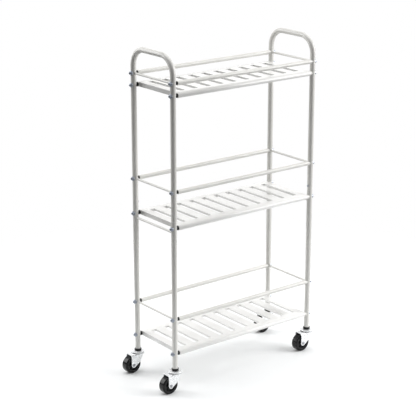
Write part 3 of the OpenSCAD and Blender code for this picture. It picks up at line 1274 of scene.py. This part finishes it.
@dataclass(frozen=True)
class Lamp:
    """One soft lamp that looks at the middle of the cart."""

    name: str
    spot: tuple[float, float, float]
    width: float
    height: float
    power: float
    target: Triple = (0.0, 0.0, 0.45)

    def build(self) -> None:
        """Makes the lamp."""
        light = bpy.data.lights.new(self.name, "AREA")
        light.shape = "RECTANGLE"
        light.size, light.size_y = self.width, self.height
        light.energy = self.power
        lamp = bpy.data.objects.new(self.name, light)
        bpy.context.scene.collection.objects.link(lamp)
        lamp.location = self.spot
        sight = Vector(self.target) - Vector(self.spot)
        lamp.rotation_euler = sight.to_track_quat("-Z", "Y").to_euler()


@dataclass
class Studio:
    """Pale floor, soft lamps at both sides and above, and a room that darkens to the front."""

    floor_r: float = 3.2
    floor_steps: int = 96
    backdrop: float = 1.0
    room_tone: Colour = (1.0, 1.0, 1.0)
    room_top: float = 0.70
    room_back: float = 1.25
    room_front: float = 0.04
    room_floor: float = 0.05
    away: Triple = (0.70, 0.71, 0.0)
    lamps: tuple[Lamp, ...] = (
        Lamp("right_light", (1.82, -1.46, 1.25), 1.3, 1.9, 52.0),
        Lamp("left_light", (-1.52, 1.87, 1.35), 1.3, 1.9, 32.0),
        Lamp("top_light", (-0.05, 0.50, 4.2), 3.4, 2.8, 66.0),
    )

    def build(self) -> None:
        """Builds the floor, the room's light and the lamps."""
        mesh = bmesh.new()
        bmesh.ops.create_circle(
            mesh, cap_ends=True, radius=self.floor_r, segments=self.floor_steps
        )
        data = bpy.data.meshes.new("floor")
        mesh.to_mesh(data)
        mesh.free()
        data.materials.append(FloorFinish().build())
        floor = bpy.data.objects.new("floor", data)
        bpy.context.scene.collection.objects.link(floor)
        self.light_room()
        for lamp in self.lamps:
            lamp.build()
        bpy.context.scene.view_settings.view_transform = "Standard"

    def light_room(self) -> None:
        """Makes the world: white to look at, and shaded from front to back as a light."""
        world = bpy.data.worlds.new("room")
        bpy.context.scene.world = world
        world.use_nodes = True
        s = Shader(world.node_tree)
        direction = s.node("ShaderNodeTexCoord", output="Generated")
        depth = s.node(
            "ShaderNodeVectorMath",
            {"operation": "DOT_PRODUCT"},
            {0: direction, 1: self.away},
            "Value",
        )
        height = s.node("ShaderNodeSeparateXYZ", inputs={0: direction}, output="Z")
        side = self.room_front + depth.step(0.15, 1.0) * (self.room_back - self.room_front)
        up = height.step(0.25, 0.95)
        down = (0 - height).step(0.0, 0.35)
        glow = side * (1 - up) + up * self.room_top
        glow = glow * (1 - down) + down * self.room_floor
        seen = s.node("ShaderNodeLightPath", output="Is Camera Ray")
        strength = seen * self.backdrop + (1 - seen) * glow
        back = s.tree.nodes["Background"]
        s.feed(back.inputs["Color"], self.room_tone)
        s.feed(back.inputs["Strength"], strength)


@dataclass
class CameraRig:
    """The camera of the main view."""

    spot: Triple = (-2.20695, -2.76982, 1.56518)
    azimuth: float = 38.0
    pitch: float = 17.40
    lens: float = 116.31
    sensor: float = 36.0
    near: float = 0.05
    far: float = 50.0

    def build(self) -> None:
        """Makes the camera and sets it as the scene's own."""
        data = bpy.data.cameras.new("camera")
        data.sensor_width = self.sensor
        data.lens = self.lens
        data.clip_start, data.clip_end = self.near, self.far
        camera = bpy.data.objects.new("camera", data)
        bpy.context.scene.collection.objects.link(camera)
        camera.location = self.spot
        tilt, heading = math.radians(90 - self.pitch), math.radians(self.azimuth)
        camera.rotation_euler = (tilt, 0.0, -heading)
        bpy.context.scene.camera = camera


# ---- The whole cart ----


@dataclass
class Cart:
    """The whole cart, dressed part by part."""

    tiers: tuple[str, ...] = ("bottom", "middle", "top")
    sheet_edge: float = 0.3 * MM

    def levels(self) -> list[float]:
        """Finds the bolt levels from the shelf tubes and the rails.

        Returns:
            The height of each level, from the bottom up.
        """
        found: list[float] = []
        for tier in self.tiers:
            found.append(middle(f"{tier}_shelf_front_tube").z)
            found.append(middle(f"{tier}_front_rail").z)
        return found

    def dress(self) -> None:
        """Gives every CAD node its finish and adds the detailed pieces."""
        sheet_enamel = EnamelFinish().build()
        # The tubes get a darker copy of the same white enamel: painted shade that tones the tubes
        # down against the shelves
        enamel = EnamelFinish(
            "shaded_tube_enamel", paint=(0.74, 0.732, 0.70), shade=(0.665, 0.657, 0.628)
        ).build()
        zinc = ZincFinish().build()
        bolt_zinc = ZincFinish(
            "zinc_blued",
            metal=(0.36, 0.39, 0.45),
            stain=(0.20, 0.23, 0.28),
            rough=0.24,
            metallic=1.0,
        ).build()
        steel = ZincFinish(
            "steel_dark",
            metal=(0.30, 0.31, 0.33),
            stain=(0.16, 0.17, 0.19),
            rough=0.30,
            metallic=1.0,
        ).build()
        plastic = PlasticFinish().build()
        metal = ["left_upper_frame", "right_upper_frame", "left_cross_bar", "right_cross_bar"]
        metal += [f"{corner.value[0]}_leg" for corner in Corner]
        for tier in self.tiers:
            softened(f"{tier}_shelf", self.sheet_edge, sheet_enamel, "cart")
            metal += [f"{tier}_left_rod", f"{tier}_right_rod"]
            metal += [f"{tier}_shelf_{depth}_tube" for depth in ("front", "back")]
            metal += [f"{tier}_{depth}_rail" for depth in ("front", "back")]
        for node in metal:
            finish_node(node, enamel)
        for node in ("left_end_plugs", "right_end_plugs"):
            finish_node(node, plastic)
        fasteners = Fasteners(bolt_zinc)
        levels = self.levels()
        for side, side_x in (("left", -1), ("right", 1)):
            fasteners.dress(side, side_x, levels)
        fasteners.dress_screws(middle("leg_screws").z)
        Welds(enamel).dress(
            [f"{tier}_{side}_rod" for tier in self.tiers for side in ("left", "right")]
            + ["left_cross_bar", "right_cross_bar"]
        )
        LegJoints(enamel).dress(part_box("left_upper_frame")[0].z)
        for corner in Corner:
            Caster(corner, zinc, steel, plastic).dress()


def main() -> None:
    """Builds the studio, the camera and the dressed cart."""
    logging.basicConfig(level=logging.INFO, format="%(message)s")
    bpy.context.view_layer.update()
    Studio().build()
    CameraRig().build()
    Cart().dress()


if __name__ == "__main__":
    main()
